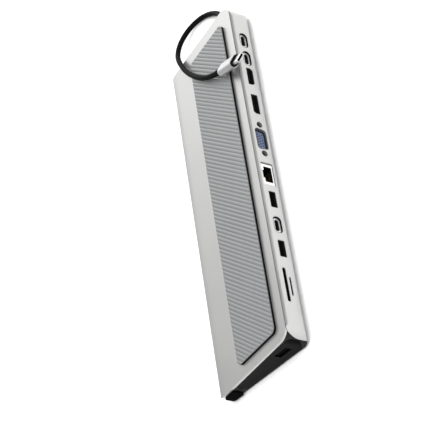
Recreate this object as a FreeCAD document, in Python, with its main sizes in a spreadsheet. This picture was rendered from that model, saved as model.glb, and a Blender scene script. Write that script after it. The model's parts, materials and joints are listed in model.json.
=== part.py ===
"""Wedge-shaped laptop docking station with a captive USB-C lead, in millimetres.

The housing lies along X, its thin nose points to -Y, its row of sockets faces +Y and +Z is up.
The origin is under the middle of the housing, on the surface that the rubber feet stand on.
Every size comes from the "Dims" sheet, and every sub-part is one object of this document.
"""
import FreeCAD, Part
import math
import os
import Sketcher
from FreeCAD import Rotation, Vector

doc = FreeCAD.newDocument("docking_station")
sheet = doc.addObject("Spreadsheet::Sheet", "Dims")

DIMENSIONS = {
    # housing
    "body_length": 283.4, "body_depth": 101.1, "ground_gap": 1.2,
    "top_edge_y": 49.25, "top_edge_z": 23.5, "slope": 0.1222,
    "belly_z": 13.7, "edge_roll": 6.0, "edge_tilt": 36.0, "nose_radius": 5.2, "crown_radius": 60.0,
    "corner_near": 11.5, "corner_far": 14.5, "corner_front": 6.0,
    "skin": 1.6, "floor_wall": 2.0, "port_wall_y": 47.9, "cavity_front_y": -42.0,
    "end_wall": 3.4, "cap_depth": 10.0, "heel_strip_y": 36.0, "seam": 0.25,
    "rear_inner_y": 38.0, "rear_core_y": 45.0, "rear_core_half_length": 136.0,
    # rear shell ends
    "rear_half_length": 140.2, "rear_top_half_length": 136.2, "rear_arc_z": 9.0,
    # raised pad
    "pad_far_x": -129.5, "pad_near_x": 133.0, "pad_front_y": -14.5, "pad_back_y": 37.9,
    "pad_sink": 0.6, "pad_base_height": 1.5, "pad_sheet": 0.7, "pad_corner": 4.5, "pad_gap": 0.3,
    # end panels and bumpers
    "panel_back_y": 44.2, "panel_front_y": -29.0, "panel_corner": 4.2, "panel_depth": 2.0,
    "bumper_back_y": -32.0, "bumper_proud": 1.5, "bumper_corner": 2.6, "bumper_depth": 6.0,
    "bumper_front": 7.5,
    # socket row
    "socket_z": 14.8, "mouth_y": 47.8, "shell_mouth_y": 50.1, "shell_wall": 0.3,
    "board_top_z": 11.9, "board_thick": 1.2,
    "usb_c_far_x": -107.4, "usb_c_mid_x": -90.5, "usb_c_near_x": 54.6,
    "hdmi_x": -73.7, "display_x": -48.5, "vga_x": -17.6, "lan_x": 12.4,
    "usb_a_mid_x": 33.9, "usb_a_near_x": 73.9, "card_x": 102.4, "micro_x": 103.3,
    "card_z": 16.9, "micro_z": 13.0, "end_usb_y": 27.3, "end_usb_z": 11.0,
    "usb_a_width": 13.1, "usb_a_height": 5.7, "usb_a_depth": 14.0,
    "usb_c_width": 8.94, "usb_c_height": 3.26, "usb_c_depth": 7.3,
    "recess_width": 13.4, "recess_height": 7.4, "bezel_width": 12.2, "bezel_height": 6.2,
    "hdmi_width": 14.6, "hdmi_height": 5.2, "display_width": 16.7, "display_height": 5.4,
    "vga_half_top": 8.6, "vga_half_bottom": 7.2, "vga_half_height": 4.1, "vga_screw_pitch": 24.99,
    "lan_width": 17.4, "lan_height": 9.6, "lan_depth": 15.0, "lan_cavity_width": 13.0,
    "lan_cavity_height": 6.8, "lan_cavity_depth": 12.5, "lan_latch_width": 6.6, "lan_latch_height": 1.2,
    "card_width": 26.4, "card_height": 2.7, "micro_width": 14.4, "micro_height": 1.5,
    # lead
    "lead_diameter": 4.2, "lead_y": 23.6, "lead_z": 9.5, "gland_reach": 5.3,
    "relief_length": 6.0, "plug_width": 11.2, "plug_height": 6.4, "plug_length": 21.0, "collar_length": 1.3,
    "plug_shell_width": 8.25, "plug_shell_height": 2.4, "plug_shell_length": 6.65,
}

for row, (alias, size) in enumerate(DIMENSIONS.items(), start=1):
    sheet.set("A%d" % row, alias)
    sheet.set("B%d" % row, str(size))
    sheet.setAlias("B%d" % row, alias)
doc.recompute()

nodes = {}


def size_of(expression):
    """Value of an expression in the sheet's aliases."""
    return float(sheet.evalExpression(expression))


def keep(obj, label):
    """Give a finished sub-part its name."""
    obj.Label = label
    nodes[label] = obj
    return obj


def bind(obj, **expressions):
    """Bind properties of an object to expressions; place_x and its like bind its position."""
    for name, expression in expressions.items():
        path = name.replace("place_", "Placement.Base.") if name.startswith("place_") else name
        obj.setExpression(path, expression)
    return obj


def new_sketch(body, role, name):
    """An empty sketch on one of the body's own origin planes."""
    sketch = body.newObject("Sketcher::SketchObject", name)
    plane = [f for f in body.Origin.OriginFeatures if f.Role == role][0]
    sketch.AttachmentSupport = (plane, "")
    sketch.MapMode = "FlatFace"
    return sketch


def pin(sketch, geometry, point, across, up):
    """Fix one point of a sketch at two expressions."""
    for kind, expression in (("DistanceX", across), ("DistanceY", up)):
        constraint = Sketcher.Constraint(kind, -1, 1, geometry, point, size_of(expression))
        index = sketch.addConstraint(constraint)
        sketch.setExpression("Constraints[%d]" % index, expression)


def add_polygon(sketch, corners):
    """Closed polygon whose corners are pairs of expressions."""
    first = sketch.GeometryCount
    points = [Vector(size_of(across), size_of(up), 0) for across, up in corners]
    count = len(points)
    for i in range(count):
        sketch.addGeometry(Part.LineSegment(points[i], points[(i + 1) % count]))
    for i in range(count):
        after = first + (i + 1) % count
        sketch.addConstraint(Sketcher.Constraint("Coincident", first + i, 2, after, 1))
        pin(sketch, first + i, 1, *corners[i])


def add_pad(body, sketch, length, symmetric=False, reverse=False, name="Pad"):
    """Pad a sketch by an expression."""
    pad = body.newObject("PartDesign::Pad", name)
    pad.Profile = sketch
    pad.SideType = "Symmetric" if symmetric else "One side"
    pad.Reversed = reverse
    pad.setExpression("Length", length)
    doc.recompute()
    return pad


def add_pocket(body, corners, role, length, reverse):
    """Pocket a polygon out of the body, and stop if nothing was cut."""
    before = body.Shape.Volume
    sketch = new_sketch(body, role, "PocketSketch")
    add_polygon(sketch, corners)
    pocket = body.newObject("PartDesign::Pocket", "Pocket")
    pocket.Profile = sketch
    pocket.Reversed = reverse
    pocket.setExpression("Length", length)
    doc.recompute()
    if body.Shape.Volume >= before - 1e-6:
        raise RuntimeError(body.Label + ": the pocket cuts nothing")
    return pocket


def edges_along(shape, direction, where=lambda middle: True):
    """Names of the straight edges that run along a direction and pass a test on their middle."""
    names = []
    for index, edge in enumerate(shape.Edges, start=1):
        if not isinstance(edge.Curve, Part.Line):
            continue
        run = edge.Vertexes[-1].Point - edge.Vertexes[0].Point
        if run.Length > 1e-6 and abs(abs(run.normalize().dot(direction)) - 1) < 1e-6:
            if where(edge.BoundBox.Center):
                names.append("Edge%d" % index)
    return names


def add_fillet(body, radius, direction, where=lambda middle: True):
    """Round the body's edges along a direction."""
    base = body.Tip
    names = edges_along(base.Shape, direction, where)
    fillet = body.newObject("PartDesign::Fillet", "Fillet")
    fillet.Base = (base, names)
    fillet.setExpression("Radius", radius)
    body.Tip = fillet
    doc.recompute()
    return fillet


ALONG_X = Vector(1, 0, 0)
ALONG_Y = Vector(0, 1, 0)
ALONG_Z = Vector(0, 0, 1)


def prism(label, role, corners, length, symmetric=True, reverse=False):
    """Body made of one polygon, padded."""
    body = doc.addObject("PartDesign::Body", label)
    sketch = new_sketch(body, role, label + "_outline")
    add_polygon(sketch, corners)
    add_pad(body, sketch, length, symmetric, reverse)
    return body


def rectangle(width, height, across="0", up="0"):
    """Corners of a rectangle about a centre, all of them expressions."""
    left, right = "(%s) - (%s) / 2" % (across, width), "(%s) + (%s) / 2" % (across, width)
    low, high = "(%s) - (%s) / 2" % (up, height), "(%s) + (%s) / 2" % (up, height)
    return [(left, low), (right, low), (right, high), (left, high)]


def rounded_bar(label, width, height, depth, radius, outward="0"):
    """Bar with rounded long edges, along Y, whose front face stands outward of its origin."""
    body = prism(label, "XZ_Plane", rectangle(width, height), "(%s) + (%s)" % (depth, outward),
                 symmetric=False)
    add_fillet(body, radius, ALONG_Y)
    return bind(body, place_y=outward)


def block(label, low, high):
    """Part box between two corners given as expressions."""
    obj = doc.addObject("Part::Box", label)
    bind(obj, Length="(%s) - (%s)" % (high[0], low[0]), Width="(%s) - (%s)" % (high[1], low[1]),
         Height="(%s) - (%s)" % (high[2], low[2]), place_x=low[0], place_y=low[1], place_z=low[2])
    return obj


def rod(label, radius, height, position, axis=ALONG_Z):
    """Part cylinder from a position along an axis."""
    obj = doc.addObject("Part::Cylinder", label)
    obj.Placement.Rotation = Rotation(ALONG_Z, axis)
    return bind(obj, Radius=radius, Height=height, place_x=position[0], place_y=position[1],
                place_z=position[2])


def common(label, base, tool):
    """Intersection of two objects."""
    obj = doc.addObject("Part::Common", label)
    obj.Base = base
    obj.Tool = tool
    doc.recompute()
    return obj


def union(label, parts):
    """Union of several objects."""
    obj = doc.addObject("Part::MultiFuse", label)
    obj.Shapes = parts
    doc.recompute()
    return obj


def cut(label, base, tools):
    """Base with every tool cut away, which has to remove something."""
    obj = doc.addObject("Part::Cut", label)
    obj.Base = base
    obj.Tool = tools[0] if len(tools) == 1 else union(label + "_tools", tools)
    doc.recompute()
    if obj.Shape.Volume >= base.Shape.Volume - 1e-6:
        raise RuntimeError(label + ": the cut removes nothing")
    return obj


def group(label, parts):
    """Several equal pieces in one node, as separate solids."""
    obj = doc.addObject("Part::Compound", label)
    obj.Links = parts
    doc.recompute()
    return obj


def under_top(y, depth):
    """Point in the YZ plane at a depth below the sloping top, above it where the depth is negative."""
    height = "Dims.top_edge_z - Dims.slope * (Dims.top_edge_y - (%s)) - (%s)" % (y, depth)
    return (y, height)


# ---- outer form -------------------------------------------------------------------------------


def wedge_section(label, length):
    """The housing's cross-section: floor, round heel, bowed and rolled socket face, top, nose."""
    body = doc.addObject("PartDesign::Body", label)
    sketch = new_sketch(body, "YZ_Plane", label + "_outline")
    back = size_of("Dims.body_depth / 2")
    floor = size_of("Dims.ground_gap")
    belly = size_of("Dims.belly_z")
    top = Vector(size_of("Dims.top_edge_y"), size_of("Dims.top_edge_z"), 0)
    slope = size_of("Dims.slope")
    nose = size_of("Dims.nose_radius")
    crown = size_of("Dims.crown_radius")
    heel = belly - floor
    roll = size_of("Dims.edge_roll")
    edge_angle = math.radians(size_of("Dims.edge_tilt"))
    bow = back - top.x - roll * (1 - math.cos(edge_angle))
    rise = top.y - belly - roll * math.sin(edge_angle)
    bow_angle = 2 * math.atan2(bow, rise)
    bow_radius = roll + rise / math.sin(bow_angle)
    roll_centre = top - Vector(math.cos(edge_angle), math.sin(edge_angle), 0) * roll
    bow_centre = Vector(back - bow_radius, belly, 0)
    heel_centre = Vector(back - heel, belly, 0)
    nose_centre = Vector(nose - back, floor + nose, 0)
    tilt = math.atan(slope)
    uphill = Vector(math.cos(tilt), math.sin(tilt), 0)
    outward = Vector(-math.sin(tilt), math.cos(tilt), 0)
    depth = (top - nose_centre).dot(outward)
    reach = math.sqrt((crown - nose) ** 2 - (crown - depth) ** 2)
    crown_start = nose_centre + outward * depth + uphill * reach
    crown_centre = crown_start - outward * crown
    meet = (nose_centre - crown_centre).normalize()
    meet_angle = math.atan2(meet.y, meet.x)
    up = Vector(0, 0, 1)

    def arc(centre, radius, start, end):
        return Part.ArcOfCircle(Part.Circle(centre, up, radius), start, end)

    front = Vector(-back, top.y - slope * (top.x + back), 0)
    sketch.addGeometry(arc(heel_centre, heel, -math.pi / 2, 0))
    sketch.addGeometry(arc(bow_centre, bow_radius, 0, bow_angle))
    sketch.addGeometry(Part.LineSegment(top, crown_start))
    sketch.addGeometry(arc(crown_centre, crown, tilt + math.pi / 2, meet_angle))
    sketch.addGeometry(arc(nose_centre, nose, meet_angle, 3 * math.pi / 2))
    sketch.addGeometry(Part.LineSegment(Vector(nose_centre.x, floor, 0), Vector(heel_centre.x, floor, 0)))
    sketch.addGeometry(Part.LineSegment(top, front), True)
    sketch.addGeometry(arc(roll_centre, roll, bow_angle, edge_angle))
    for first, second in ((0, 1), (1, 7), (2, 3), (3, 4), (4, 5), (5, 0)):
        sketch.addConstraint(Sketcher.Constraint("Tangent", first, 2, second, 1))
    sketch.addConstraint(Sketcher.Constraint("Coincident", 7, 2, 2, 1))
    sketch.addConstraint(Sketcher.Constraint("Coincident", 2, 1, 6, 1))
    sketch.addConstraint(Sketcher.Constraint("PointOnObject", 2, 2, 6))
    sketch.addConstraint(Sketcher.Constraint("Horizontal", 5))
    pin(sketch, 6, 1, "Dims.top_edge_y", "Dims.top_edge_z")
    pin(sketch, 6, 2, "-Dims.body_depth / 2",
        "Dims.top_edge_z - Dims.slope * (Dims.top_edge_y + Dims.body_depth / 2)")
    for kind, expression in (("DistanceX", "Dims.top_edge_y - Dims.edge_roll * cos(Dims.edge_tilt)"),
                             ("DistanceY", "Dims.top_edge_z - Dims.edge_roll * sin(Dims.edge_tilt)")):
        index = sketch.addConstraint(Sketcher.Constraint(kind, -1, 1, 7, 3, size_of(expression)))
        sketch.setExpression("Constraints[%d]" % index, expression)
    for kind, arc_index, expression in (("Radius", 0, "Dims.belly_z - Dims.ground_gap"),
                                        ("Radius", 3, "Dims.crown_radius"),
                                        ("Radius", 4, "Dims.nose_radius")):
        index = sketch.addConstraint(Sketcher.Constraint(kind, arc_index, size_of(expression)))
        sketch.setExpression("Constraints[%d]" % index, expression)
    for kind, geometry, point, expression in (
            ("DistanceY", 5, 1, "Dims.ground_gap"),
            ("DistanceX", 1, 1, "Dims.body_depth / 2"),
            ("DistanceY", 1, 3, "Dims.belly_z"),
            ("DistanceX", 4, 3, "Dims.nose_radius - Dims.body_depth / 2")):
        constraint = Sketcher.Constraint(kind, -1, 1, geometry, point, size_of(expression))
        index = sketch.addConstraint(constraint)
        sketch.setExpression("Constraints[%d]" % index, expression)
    add_pad(body, sketch, length, symmetric=True)
    return body


def plan_form(label, length, front_radius="Dims.corner_front"):
    """The housing seen from above: a rectangle with its four corners rounded."""
    body = prism(label, "XY_Plane", rectangle(length, "Dims.body_depth"), "80")
    add_fillet(body, "Dims.corner_near", ALONG_Z, lambda middle: middle.x > 0 and middle.y > 0)
    add_fillet(body, "Dims.corner_far", ALONG_Z, lambda middle: middle.x < 0 and middle.y > 0)
    add_fillet(body, front_radius, ALONG_Z, lambda middle: middle.y < 0)
    return body


LONG = "Dims.body_length + 20"
section = wedge_section("section", LONG)
envelope = common("envelope", section, plan_form("plan", "Dims.body_length"))
proud_envelope = common("proud_envelope", section,
                        plan_form("proud_plan", "Dims.body_length + 2 * Dims.bumper_proud",
                                  "Dims.bumper_front"))

lip_y = "Dims.nose_radius - Dims.body_depth / 2 - 3.4"
lip_z = "Dims.ground_gap + Dims.nose_radius"
roof_region = prism("roof_region", "YZ_Plane", [
    ("Dims.top_edge_y", "Dims.top_edge_z + 10"),
    ("Dims.top_edge_y", "Dims.top_edge_z"),
    under_top("Dims.port_wall_y", "Dims.skin"),
    under_top("Dims.cavity_front_y - 1.5", "Dims.skin + 0.6"),
    (lip_y, lip_z),
    ("-Dims.body_depth / 2 - 5", lip_z),
    ("-Dims.body_depth / 2 - 5", "Dims.top_edge_z + 10")], LONG)

cavity_corners = [
    ("Dims.heel_strip_y + 5", "Dims.ground_gap + Dims.floor_wall"),
    ("Dims.port_wall_y", "Dims.ground_gap + 7.8"),
    under_top("Dims.port_wall_y", "Dims.skin"),
    under_top("Dims.cavity_front_y", "Dims.skin"),
    ("Dims.cavity_front_y", "Dims.ground_gap + Dims.floor_wall")]
cavity = prism("cavity", "YZ_Plane", cavity_corners, "Dims.body_length - 2 * Dims.cap_depth")
cap_hollow = prism("cap_hollow", "YZ_Plane", [
    ("Dims.bumper_back_y + 2", "Dims.ground_gap + Dims.floor_wall"),
    ("Dims.heel_strip_y - 2", "Dims.ground_gap + Dims.floor_wall"),
    under_top("Dims.heel_strip_y - 2", "Dims.skin"),
    under_top("Dims.bumper_back_y + 2", "Dims.skin")], "Dims.body_length - 2 * Dims.end_wall")

# ---- rear shell -------------------------------------------------------------------------------


def rear_length_form():
    """The rear shell seen from the sockets: upright ends that curve inwards towards the top."""
    body = doc.addObject("PartDesign::Body", "rear_length")
    sketch = new_sketch(body, "XZ_Plane", "rear_length_outline")
    half, top_half = size_of("Dims.rear_half_length"), size_of("Dims.rear_top_half_length")
    low, knee, high = 0.0, size_of("Dims.rear_arc_z"), size_of("Dims.top_edge_z")
    inset, rise = half - top_half, high - knee
    radius = (inset ** 2 + rise ** 2) / (2 * inset)
    angle = math.asin(rise / radius)
    up = Vector(0, 0, 1)
    near = Part.ArcOfCircle(Part.Circle(Vector(half - radius, knee, 0), up, radius), 0, angle)
    far = Part.ArcOfCircle(Part.Circle(Vector(radius - half, knee, 0), up, radius),
                           math.pi - angle, math.pi)
    sketch.addGeometry(Part.LineSegment(Vector(-half, low, 0), Vector(half, low, 0)))
    sketch.addGeometry(Part.LineSegment(Vector(half, low, 0), Vector(half, knee, 0)))
    sketch.addGeometry(near)
    sketch.addGeometry(Part.LineSegment(Vector(top_half, high, 0), Vector(-top_half, high, 0)))
    sketch.addGeometry(far)
    sketch.addGeometry(Part.LineSegment(Vector(-half, knee, 0), Vector(-half, low, 0)))
    for first, second in ((0, 1), (2, 3), (3, 4), (5, 0)):
        sketch.addConstraint(Sketcher.Constraint("Coincident", first, 2, second, 1))
    for first, second in ((1, 2), (4, 5)):
        sketch.addConstraint(Sketcher.Constraint("Tangent", first, 2, second, 1))
    pin(sketch, 0, 1, "-Dims.rear_half_length", "0")
    pin(sketch, 0, 2, "Dims.rear_half_length", "0")
    pin(sketch, 3, 1, "Dims.rear_top_half_length", "Dims.top_edge_z")
    pin(sketch, 3, 2, "-Dims.rear_top_half_length", "Dims.top_edge_z")
    sketch.addConstraint(Sketcher.Constraint("Vertical", 1))
    sketch.addConstraint(Sketcher.Constraint("Vertical", 5))
    for geometry, point in ((1, 2), (5, 1)):
        constraint = Sketcher.Constraint("DistanceY", -1, 1, geometry, point, knee)
        index = sketch.addConstraint(constraint)
        sketch.setExpression("Constraints[%d]" % index, "Dims.rear_arc_z")
    add_pad(body, sketch, "140", symmetric=True)
    return body


ROOF_BACK_Z = under_top("Dims.port_wall_y", "Dims.skin")[1]
rear_region = prism("rear_region", "YZ_Plane", [
    ("Dims.top_edge_y + Dims.seam", "Dims.top_edge_z - Dims.seam"),
    ("Dims.port_wall_y + Dims.seam", ROOF_BACK_Z + " - Dims.seam"),
    under_top("Dims.rear_inner_y", "Dims.skin + Dims.seam"),
    ("Dims.rear_inner_y", "Dims.ground_gap + Dims.floor_wall"),
    ("Dims.heel_strip_y", "Dims.ground_gap + Dims.floor_wall"),
    ("Dims.heel_strip_y", "-5"),
    ("Dims.body_depth / 2 + 5", "-5"),
    ("Dims.body_depth / 2 + 5", "Dims.top_edge_z - Dims.seam")], LONG)
rear_core = prism("rear_core", "YZ_Plane", [
    ("Dims.rear_inner_y - 1", "Dims.ground_gap + 3.2"),
    ("Dims.rear_core_y - 4", "Dims.ground_gap + 3.2"),
    ("Dims.rear_core_y", "Dims.ground_gap + 6.2"),
    under_top("Dims.rear_core_y", "0"),
    under_top("Dims.rear_inner_y - 1", "0")], "2 * Dims.rear_core_half_length")


def end_prism(label, corners, length, outer_x, radius, side, back_only=False):
    """Prism along X whose outer face is at outer_x on one end of the housing."""
    body = prism(label, "YZ_Plane", corners, length, symmetric=False, reverse=(side == "+"))
    add_fillet(body, radius, ALONG_X, lambda middle: not back_only or middle.y > -45)
    return bind(body, place_x="%s(%s)" % (side, outer_x))


OUTER_X = "Dims.body_length / 2 + 5"
END_SIDES = {"near": "+", "far": "-"}
panel_corners = [
    ("Dims.panel_front_y", "Dims.ground_gap + 0.8"),
    ("Dims.panel_back_y - 6.5", "Dims.ground_gap + 0.8"),
    ("Dims.panel_back_y", "Dims.ground_gap + 7.5"),
    under_top("Dims.panel_back_y", "Dims.skin + 3.2"),
    under_top("Dims.panel_back_y - 4.5", "Dims.skin + 0.7"),
    under_top("Dims.panel_front_y", "Dims.skin + 0.7")]
panel_prisms = {name: end_prism("panel_prism_" + name, panel_corners, "5 + Dims.panel_depth", OUTER_X,
                                "Dims.panel_corner", side) for name, side in END_SIDES.items()}
rear_blank = cut("rear_blank", common("rear_outer", envelope, rear_region),
                 [cavity, rear_core] + list(panel_prisms.values()))
rear_length = rear_length_form()
rear_wall = common("rear_wall", rear_blank, rear_length)
rear_ends = common("rear_ends", rear_region, rear_length)

# ---- sockets ----------------------------------------------------------------------------------

WALL_DEPTH = "8"


def opening(label, corners, position_x, position_z, radius=None):
    """Prism that cuts one socket's opening through the rear wall."""
    body = prism(label, "XZ_Plane", corners, WALL_DEPTH, symmetric=True)
    if radius:
        add_fillet(body, radius, ALONG_Y)
    return bind(body, place_x=position_x, place_y="Dims.mouth_y + 1", place_z=position_z)


def hdmi_corners(grow):
    """HDMI outline: wide side up, lower corners cut off."""
    half, high = "Dims.hdmi_width / 2 + %s" % grow, "Dims.hdmi_height / 2 + %s" % grow
    low_half = "Dims.hdmi_width / 2 - 1.5 + %s / 2" % grow
    return [("-(%s)" % low_half, "-(%s)" % high), (low_half, "-(%s)" % high), (half, "-0.8"),
            (half, high), ("-(%s)" % half, high), ("-(%s)" % half, "-0.8")]


def display_corners(grow):
    """DisplayPort outline: a rectangle with one upper corner cut off."""
    half, high = "Dims.display_width / 2 + %s" % grow, "Dims.display_height / 2 + %s" % grow
    return [("-(%s)" % half, "-(%s)" % high), (half, "-(%s)" % high), (half, "%s - 1.6" % high),
            ("%s - 1.6" % half, high), ("-(%s)" % half, high)]


def vga_corners(grow):
    """D-shaped outline of the VGA socket, wide side up."""
    top, bottom = "Dims.vga_half_top + %s" % grow, "Dims.vga_half_bottom + %s" % grow
    high = "Dims.vga_half_height + %s" % grow
    return [("-(%s)" % bottom, "-(%s)" % high), (bottom, "-(%s)" % high), (top, high),
            ("-(%s)" % top, high)]


USB_C_PLACES = {"far": "Dims.usb_c_far_x", "mid": "Dims.usb_c_mid_x", "near": "Dims.usb_c_near_x"}
USB_A_PLACES = {"mid": "Dims.usb_a_mid_x", "near": "Dims.usb_a_near_x"}
SOCKET_Z = "Dims.socket_z"
SCREW_SIDES = {"far": "-", "near": "+"}

openings = [
    opening("hdmi_opening", hdmi_corners("0.3"), "Dims.hdmi_x", SOCKET_Z, "0.5"),
    opening("display_opening", display_corners("0.3"), "Dims.display_x", SOCKET_Z, "0.5"),
    opening("vga_opening", vga_corners("1.0"), "Dims.vga_x", SOCKET_Z, "2.6"),
    opening("lan_opening", rectangle("Dims.lan_width + 1.2", "Dims.lan_height + 1.2"),
            "Dims.lan_x", SOCKET_Z, "0.8"),
    opening("card_opening", rectangle("Dims.card_width", "Dims.card_height"),
            "Dims.card_x", "Dims.card_z", "1.2"),
    opening("micro_opening", rectangle("Dims.micro_width", "Dims.micro_height"),
            "Dims.micro_x", "Dims.micro_z", "0.6")]
for name, place in USB_C_PLACES.items():
    openings.append(opening("usb_c_recess_" + name, rectangle("Dims.recess_width", "Dims.recess_height"),
                            place, SOCKET_Z, "Dims.recess_height * 0.47"))
for name, place in USB_A_PLACES.items():
    openings.append(opening("usb_a_opening_" + name,
                            rectangle("Dims.usb_a_width + 0.2", "Dims.usb_a_height + 0.2"),
                            place, SOCKET_Z, "0.5"))
for name, side in SCREW_SIDES.items():
    openings.append(rod("screw_opening_" + name, "2.5", WALL_DEPTH,
                        ("Dims.vga_x %s Dims.vga_screw_pitch / 2" % side, "Dims.mouth_y - 3", SOCKET_Z),
                        ALONG_Y))

rear_shell = keep(cut("rear_shell", rear_wall, openings), "rear_shell")


def socket_shell(label, outer, depth, position, wall="Dims.shell_wall", radius="0.4", inner=None):
    """Open-fronted metal shell along Y with its mouth at the position, and legs to the board."""
    body = prism(label + "_sleeve", "XZ_Plane", outer, depth, symmetric=False)
    add_fillet(body, radius, ALONG_Y)
    add_pocket(body, inner, "XZ_Plane", "%s - %s" % (depth, wall), reverse=True)
    bind(body, place_x=position[0], place_y=position[1], place_z=position[2])
    return body


def with_legs(label, body, position, half_width, half_height, depth, board_top="Dims.board_top_z"):
    """The shell with its two mounting legs, which stand on the board."""
    legs = []
    for index, side in enumerate(("-", "+")):
        middle = "%s %s (%s - 0.6)" % (position[0], side, half_width)
        back = "%s - %s + 1" % (position[1], depth)
        legs.append(block("%s_leg%d" % (label, index),
                          (middle + " - 0.4", back, board_top),
                          (middle + " + 0.4", back + " + 2",
                           "%s - %s + 0.1" % (position[2], half_height))))
    return keep(union(label, [body] + legs), label)


def tongue(label, width, height, depth, position, lift="0", recess="1.2"):
    """Contact tongue inside a shell, fixed to the shell's back wall."""
    x_mid, mouth, z_mid = position
    low = "%s + %s - %s / 2" % (z_mid, lift, height)
    return keep(block(label, ("%s - %s / 2" % (x_mid, width), "%s - %s + Dims.shell_wall" % (mouth, depth),
                              low),
                      ("%s + %s / 2" % (x_mid, width), "%s - %s" % (mouth, recess),
                       "%s + %s" % (low, height))), label)


hdmi_at = ("Dims.hdmi_x", "Dims.shell_mouth_y", SOCKET_Z)
hdmi_sleeve = socket_shell("hdmi_shell", hdmi_corners("0.2"), "12", hdmi_at, inner=hdmi_corners("-0.1"))
with_legs("hdmi_shell", hdmi_sleeve, hdmi_at, "5.6", "2.8", "12")
tongue("hdmi_tongue", "11.8", "1.3", "12", hdmi_at, "0.2")

display_at = ("Dims.display_x", "Dims.shell_mouth_y", SOCKET_Z)
display_sleeve = socket_shell("display_shell", display_corners("0.2"), "12", display_at,
                              inner=display_corners("-0.1"))
with_legs("display_shell", display_sleeve, display_at, "8", "2.9", "12")
tongue("display_tongue", "13.4", "1.3", "12", display_at, "0.2")

for name, place in USB_A_PLACES.items():
    at = (place, "Dims.shell_mouth_y", SOCKET_Z)
    sleeve = socket_shell("usb_a_shell_" + name, rectangle("Dims.usb_a_width", "Dims.usb_a_height"),
                          "Dims.usb_a_depth", at,
                          inner=rectangle("Dims.usb_a_width - 0.6", "Dims.usb_a_height - 0.6"))
    with_legs("usb_a_shell_" + name, sleeve, at, "6.3", "Dims.usb_a_height / 2", "Dims.usb_a_depth")
    tongue("usb_a_tongue_" + name, "11.1", "1.84", "Dims.usb_a_depth", at, "0.9", "1.8")

BEZEL_Y = "Dims.mouth_y + 1.5"
gaskets = []
for name, place in USB_C_PLACES.items():
    gasket = rounded_bar("usb_c_gasket_bar_" + name,
                         "Dims.recess_width - 0.1", "Dims.recess_height - 0.1", "3",
                         "(Dims.recess_height - 0.1) * 0.47")
    bind(gasket, place_x=place, place_y="Dims.mouth_y + 2.5", place_z=SOCKET_Z)
    eye = rounded_bar("usb_c_gasket_eye_" + name,
                      "Dims.bezel_width + 0.04", "Dims.bezel_height + 0.04", "10",
                      "(Dims.bezel_height + 0.04) * 0.47")
    bind(eye, place_x=place, place_y="Dims.mouth_y + 4", place_z=SOCKET_Z)
    gaskets.append(cut("usb_c_gasket_" + name, gasket, [eye]))
    bezel = rounded_bar("usb_c_bezel_" + name + "_bar", "Dims.bezel_width", "Dims.bezel_height", "1.6",
                        "Dims.bezel_height * 0.47")
    bind(bezel, place_x=place, place_y=BEZEL_Y, place_z=SOCKET_Z)
    hole = rounded_bar("usb_c_hole_" + name, "Dims.usb_c_width + 0.3", "Dims.usb_c_height + 0.4", "10",
                       "Dims.usb_c_height * 0.5")
    bind(hole, place_x=place, place_y=BEZEL_Y + " + 1", place_z=SOCKET_Z)
    keep(cut("usb_c_bezel_" + name, bezel, [hole]), "usb_c_bezel_" + name)
    at = (place, BEZEL_Y + " - 0.3", SOCKET_Z)
    bar = rounded_bar("usb_c_bar_" + name, "Dims.usb_c_width - 0.04", "Dims.usb_c_height - 0.04",
                      "Dims.usb_c_depth", "Dims.usb_c_height * 0.46")
    bind(bar, place_x=place, place_y=at[1], place_z=SOCKET_Z)
    bore = rounded_bar("usb_c_bore_" + name, "Dims.usb_c_width - 0.6", "Dims.usb_c_height - 0.6",
                       "Dims.usb_c_depth - Dims.shell_wall", "(Dims.usb_c_height - 0.6) * 0.46")
    bind(bore, place_x=place, place_y=at[1], place_z=SOCKET_Z)
    sleeve = cut("usb_c_sleeve_" + name, bar, [bore])
    with_legs("usb_c_shell_" + name, sleeve, at, "4", "1.63", "Dims.usb_c_depth")
    tongue("usb_c_tongue_" + name, "6.7", "0.7", "Dims.usb_c_depth", at, "0", "1.0")
keep(group("usb_c_gaskets", gaskets), "usb_c_gaskets")

# VGA socket: D-shaped shell on a flange, blue insulator with three rows of five holes, two nuts
vga_at = ("Dims.vga_x", "Dims.mouth_y + 1.4", SOCKET_Z)
vga_sleeve = prism("vga_sleeve", "XZ_Plane", vga_corners("0"), "7.4", symmetric=False)
add_fillet(vga_sleeve, "2.2", ALONG_Y)
bind(vga_sleeve, place_x=vga_at[0], place_y=vga_at[1], place_z=vga_at[2])
vga_flange = block("vga_flange", ("Dims.vga_x - 15.4", "Dims.mouth_y - 6", "Dims.board_top_z"),
                   ("Dims.vga_x + 15.4", "Dims.mouth_y - 5.2", "Dims.socket_z + 5.6"))
vga_bore = prism("vga_bore", "XZ_Plane", vga_corners("-0.4"), "12", symmetric=False)
add_fillet(vga_bore, "1.8", ALONG_Y)
bind(vga_bore, place_x=vga_at[0], place_y="Dims.mouth_y + 3", place_z=vga_at[2])
vga_tools = [vga_bore]
vga_nuts = []
for name, side in SCREW_SIDES.items():
    x_mid = "Dims.vga_x %s Dims.vga_screw_pitch / 2" % side
    vga_tools.append(rod("vga_flange_hole_" + name, "1.6", "4", (x_mid, "Dims.mouth_y - 7.5", SOCKET_Z),
                         ALONG_Y))
    nut = rod("vga_nut_blank_" + name, "2.4", "4.6", (x_mid, "Dims.mouth_y - 5.2", SOCKET_Z), ALONG_Y)
    thread = rod("vga_thread_" + name, "1.25", "10", (x_mid, "Dims.mouth_y - 8", SOCKET_Z), ALONG_Y)
    vga_nuts.append(cut("vga_nut_" + name, nut, [thread]))
keep(cut("vga_shell", union("vga_shell_blank", [vga_sleeve, vga_flange]), vga_tools), "vga_shell")
keep(group("vga_nuts", vga_nuts), "vga_nuts")

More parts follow.
